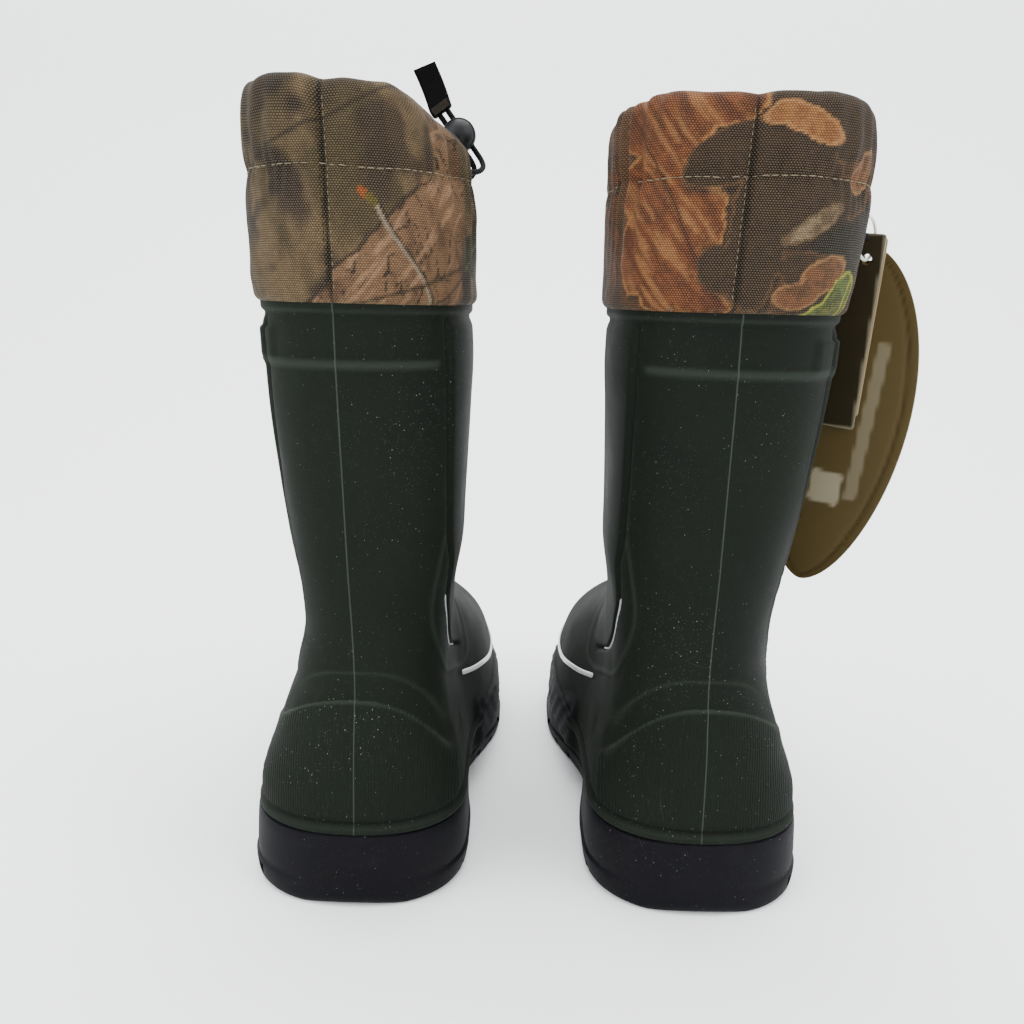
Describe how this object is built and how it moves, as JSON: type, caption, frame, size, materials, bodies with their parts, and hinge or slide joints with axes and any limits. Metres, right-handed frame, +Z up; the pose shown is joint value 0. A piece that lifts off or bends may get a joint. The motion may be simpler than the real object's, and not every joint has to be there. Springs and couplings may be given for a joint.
{
  "type": "insulated hunting boots",
  "caption": "Pair of mid-height insulated boots: moulded foam shells, rubber outsoles, thermal liners, printed cloth collars with drawcords, and hang tags.",
  "frame": {"origin": "on the floor under the middle of the pair's outline, hang tags included", "axes": "+Z up, +Y towards the toes, +X towards the right boot's outer side"},
  "size_m": [0.288, 0.3242, 0.356],
  "materials": {
    "olive_eva": "matte moulded EVA foam",
    "black_rubber": "matte rubber",
    "grey_felt": "pressed thermal felt",
    "printed_cloth": "coarse woven polyester printed with leaves and bark",
    "black_knit": "brushed knit",
    "black_cord": "braided cord",
    "dull_metal": "dull lacquered steel",
    "black_plastic": "satin moulded plastic",
    "spring_steel": "spring wire",
    "black_webbing": "woven webbing",
    "reflective_film": "silver glass-bead film",
    "light_thread": "twisted polyester thread",
    "clear_nylon": "milky nylon",
    "khaki_card": "printed card with a satin face",
    "brown_card": "printed card",
    "kraft_card": "kraft card"
  },
  "bodies": {
    "left_boot": {"left_shell": "olive_eva", "left_outsole": "black_rubber", "left_liner": "grey_felt", "left_insole": "grey_felt", "left_collar": "printed_cloth", "left_collar_lining": "black_knit", "left_drawcord": "black_cord", "left_eyelets": "dull_metal", "left_cord_end_a": "black_cord", "left_cord_end_b": "black_cord", "left_cord_tab": "black_webbing", "left_reflectors": "reflective_film", "left_rim_stitch": "light_thread", "left_pull_tape": "black_webbing"},
    "left_lock": {"left_cord_lock": "black_plastic", "left_lock_spring": "spring_steel"},
    "left_plunger": {"left_lock_plunger": "black_plastic"},
    "right_boot": {"right_shell": "olive_eva", "right_outsole": "black_rubber", "right_liner": "grey_felt", "right_insole": "grey_felt", "right_collar": "printed_cloth", "right_collar_lining": "black_knit", "right_drawcord": "black_cord", "right_eyelets": "dull_metal", "right_cord_end_a": "black_cord", "right_cord_end_b": "black_cord", "right_cord_tab": "black_webbing", "right_reflectors": "reflective_film", "right_rim_stitch": "light_thread", "right_pull_tape": "black_webbing", "tag_anchor": "black_webbing"},
    "right_lock": {"right_cord_lock": "black_plastic", "right_lock_spring": "spring_steel"},
    "right_plunger": {"right_lock_plunger": "black_plastic"},
    "tags": {"leaf_tag": "khaki_card", "tag_ring": "clear_nylon"},
    "front_card": {"card_front": "brown_card"},
    "back_card": {"card_back": "kraft_card"}
  },
  "joints": [
    {"name": "right_boot_lift", "type": "slide", "parent": "left_boot", "child": "right_boot", "axis": [0, 0, 1], "range_m": [0, 0.4]},
    {"name": "left_lock_slide", "type": "slide", "parent": "left_boot", "child": "left_lock", "axis": [-0.6, 0, 0.8], "range_m": [-0.0015, 0.003]},
    {"name": "left_lock_press", "type": "slide", "parent": "left_lock", "child": "left_plunger", "axis": [0, -1, 0], "range_m": [0, 0.002], "stiffness_N_per_m": 900, "springref_m": -0.002, "deforming": ["left_lock_spring"]},
    {"name": "right_lock_slide", "type": "slide", "parent": "right_boot", "child": "right_lock", "axis": [0, 0, 1], "range_m": [-0.006, 0.006]},
    {"name": "right_lock_press", "type": "slide", "parent": "right_lock", "child": "right_plunger", "axis": [0, -1, 0], "range_m": [0, 0.002], "stiffness_N_per_m": 900, "springref_m": -0.002, "deforming": ["right_lock_spring"]},
    {"name": "tags_swing", "type": "hinge", "parent": "right_boot", "child": "tags", "pos_m": [0.12057, -0.07103, 0.283], "axis": [0.7513, -0.66, 0], "range_deg": [0, 30]},
    {"name": "front_card_fan", "type": "hinge", "parent": "tags", "child": "front_card", "pos_m": [0.12162, -0.06983, 0.27414], "axis": [-0.66, -0.7513, 0], "range_deg": [0, 30]},
    {"name": "back_card_fan", "type": "hinge", "parent": "tags", "child": "back_card", "pos_m": [0.12308, -0.06817, 0.27484], "axis": [-0.66, -0.7513, 0], "range_deg": [0, 30]}
  ]
}
